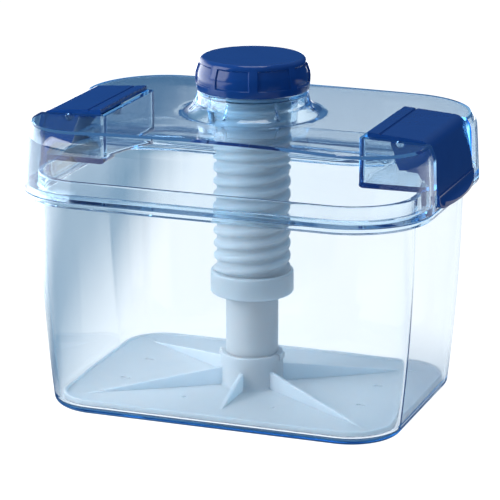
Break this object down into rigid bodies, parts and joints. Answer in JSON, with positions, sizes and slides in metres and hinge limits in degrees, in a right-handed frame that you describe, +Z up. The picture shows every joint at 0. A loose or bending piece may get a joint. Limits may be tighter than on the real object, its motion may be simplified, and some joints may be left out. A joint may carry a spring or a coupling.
{
  "type": "pickle press",
  "caption": "Rectangular clear pickle press with a clear latched lid, a hollow screw turned by a knob, and a sprung press plate on a post.",
  "frame": {"origin": "middle of the flat that the tub stands on", "axes": "+X along the tub towards one latch, +Y from the front to the back, +Z up along the screw"},
  "size_m": [0.2078, 0.1484, 0.1659],
  "materials": {
    "clear_plastic": "clear, glossy, with a faint blue tint",
    "blue_plastic": "glossy deep blue",
    "white_plastic": "satin, translucent cool white",
    "spring_steel": "bright drawn stainless wire"
  },
  "bodies": {
    "base": {"container": "clear_plastic", "lid": "clear_plastic", "neck": "clear_plastic"},
    "latch_right": {"latch_right": "blue_plastic"},
    "latch_left": {"latch_left": "blue_plastic"},
    "carrier": {"spring_seat": "white_plastic", "spring": "spring_steel"},
    "screw": {"knob": "blue_plastic", "screw_tube": "white_plastic", "screw_collar": "white_plastic"},
    "foot": {"press_post": "white_plastic", "press_plate": "white_plastic"}
  },
  "joints": [
    {"name": "latch_right_swing", "type": "hinge", "parent": "base", "child": "latch_right", "pos_m": [0.0813, 0, 0.1348], "axis": [0, -1, 0], "range_deg": [0, 70]},
    {"name": "latch_left_swing", "type": "hinge", "parent": "base", "child": "latch_left", "pos_m": [-0.0813, 0, 0.1348], "axis": [0, 1, 0], "range_deg": [0, 70]},
    {"name": "screw_lift", "type": "slide", "parent": "base", "child": "carrier", "axis": [0, 0, 1], "range_m": [0, 0.07]},
    {"name": "knob_turn", "type": "hinge", "parent": "carrier", "child": "screw", "pos_m": [0, 0, 0.15], "axis": [0, 0, 1], "range_deg": [0, 2030]},
    {"name": "post_plunge", "type": "slide", "parent": "carrier", "child": "foot", "axis": [0, 0, 1], "range_m": [0, 0.0294], "stiffness_N_per_m": 800, "springref_m": -0.02, "deforming": ["spring"]}
  ],
  "couplings": [
    {"joint": "screw_lift", "follows": "knob_turn", "m_per_rad": 0.0019735}
  ]
}
